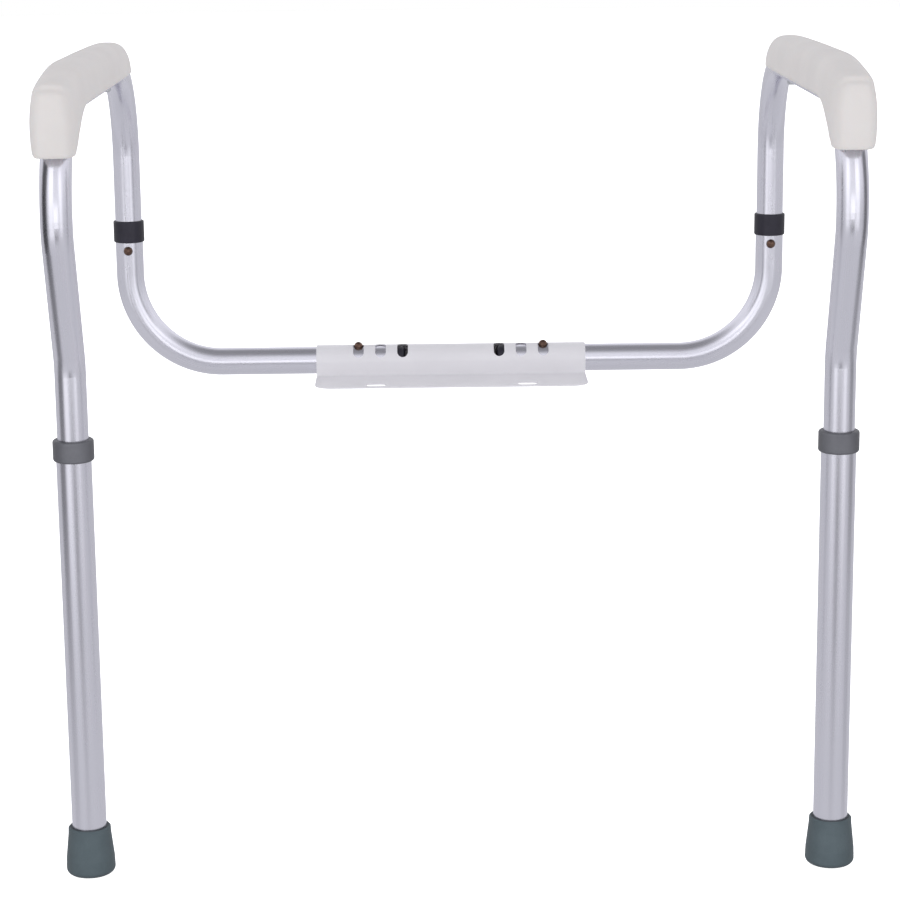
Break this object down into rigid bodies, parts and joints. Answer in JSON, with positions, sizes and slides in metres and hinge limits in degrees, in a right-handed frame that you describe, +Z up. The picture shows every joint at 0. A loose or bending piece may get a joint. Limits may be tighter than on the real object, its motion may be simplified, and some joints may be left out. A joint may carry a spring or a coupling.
{
  "type": "toilet safety frame",
  "caption": "Aluminium frame that bolts on behind a toilet seat, with padded armrests, height-adjustable front legs on rubber feet and snap-button width setting.",
  "frame": {"origin": "on the floor, at the middle of the frame's outline seen from above", "axes": "+Z up, +X towards the right of the frame seen from the front, +Y towards the bracket and the cistern; the seated user faces -Y"},
  "size_m": [0.6608, 0.5117, 0.6699],
  "materials": {
    "aluminium": "satin anodised",
    "bracket_paint": "semi-gloss powder coat",
    "pad_foam": "satin moulded polyurethane skin",
    "grey_plastic": "satin",
    "black_plastic": "satin",
    "foot_rubber": "matt",
    "button_bronze": "dark plated",
    "spring_steel": "plain",
    "steel": "zinc plated"
  },
  "bodies": {
    "bracket": {"bracket": "bracket_paint"},
    "left_side": {"left_back_tube": "aluminium", "left_back_tube_plug": "black_plastic", "left_back_collar": "black_plastic", "left_arm_tube": "aluminium", "left_armrest_pad": "pad_foam", "left_armrest_screws": "steel", "left_width_spring": "spring_steel", "left_arm_spring": "spring_steel", "left_leg_spring": "spring_steel"},
    "left_leg": {"left_lower_leg": "aluminium", "left_leg_collar": "grey_plastic", "left_foot": "foot_rubber", "left_foot_washer": "steel"},
    "left_width_pin": {"left_width_button": "button_bronze"},
    "left_arm_pin": {"left_arm_button": "button_bronze"},
    "left_leg_pin": {"left_leg_button": "button_bronze"},
    "right_side": {"right_back_tube": "aluminium", "right_back_tube_plug": "black_plastic", "right_back_collar": "black_plastic", "right_arm_tube": "aluminium", "right_armrest_pad": "pad_foam", "right_armrest_screws": "steel", "right_width_spring": "spring_steel", "right_arm_spring": "spring_steel", "right_leg_spring": "spring_steel"},
    "right_leg": {"right_lower_leg": "aluminium", "right_leg_collar": "grey_plastic", "right_foot": "foot_rubber", "right_foot_washer": "steel"},
    "right_width_pin": {"right_width_button": "button_bronze"},
    "right_arm_pin": {"right_arm_button": "button_bronze"},
    "right_leg_pin": {"right_leg_button": "button_bronze"}
  },
  "joints": [
    {"name": "left_width", "type": "slide", "parent": "bracket", "child": "left_side", "axis": [1, 0, 0], "range_m": [0, 0.043], "deforming": ["left_width_button"]},
    {"name": "left_leg_height", "type": "slide", "parent": "left_side", "child": "left_leg", "axis": [0, 0, -1], "range_m": [0, 0.129]},
    {"name": "left_width_press", "type": "slide", "parent": "left_side", "child": "left_width_pin", "axis": [0, 0.225, -0.9744], "range_m": [0, 0.0058], "stiffness_N_per_m": 900, "deforming": ["left_width_spring"]},
    {"name": "left_arm_press", "type": "slide", "parent": "left_side", "child": "left_arm_pin", "axis": [0, 1, 0], "range_m": [0, 0.0058], "stiffness_N_per_m": 900, "deforming": ["left_arm_spring"]},
    {"name": "left_leg_press", "type": "slide", "parent": "left_side", "child": "left_leg_pin", "axis": [0, -1, 0], "range_m": [0, 0.0058], "stiffness_N_per_m": 900, "deforming": ["left_leg_spring"]},
    {"name": "right_width", "type": "slide", "parent": "bracket", "child": "right_side", "axis": [-1, 0, 0], "range_m": [0, 0.043], "deforming": ["right_width_button"]},
    {"name": "right_leg_height", "type": "slide", "parent": "right_side", "child": "right_leg", "axis": [0, 0, -1], "range_m": [0, 0.129]},
    {"name": "right_width_press", "type": "slide", "parent": "right_side", "child": "right_width_pin", "axis": [0, 0.225, -0.9744], "range_m": [0, 0.0058], "stiffness_N_per_m": 900, "deforming": ["right_width_spring"]},
    {"name": "right_arm_press", "type": "slide", "parent": "right_side", "child": "right_arm_pin", "axis": [0, 1, 0], "range_m": [0, 0.0058], "stiffness_N_per_m": 900, "deforming": ["right_arm_spring"]},
    {"name": "right_leg_press", "type": "slide", "parent": "right_side", "child": "right_leg_pin", "axis": [0, -1, 0], "range_m": [0, 0.0058], "stiffness_N_per_m": 900, "deforming": ["right_leg_spring"]}
  ]
}
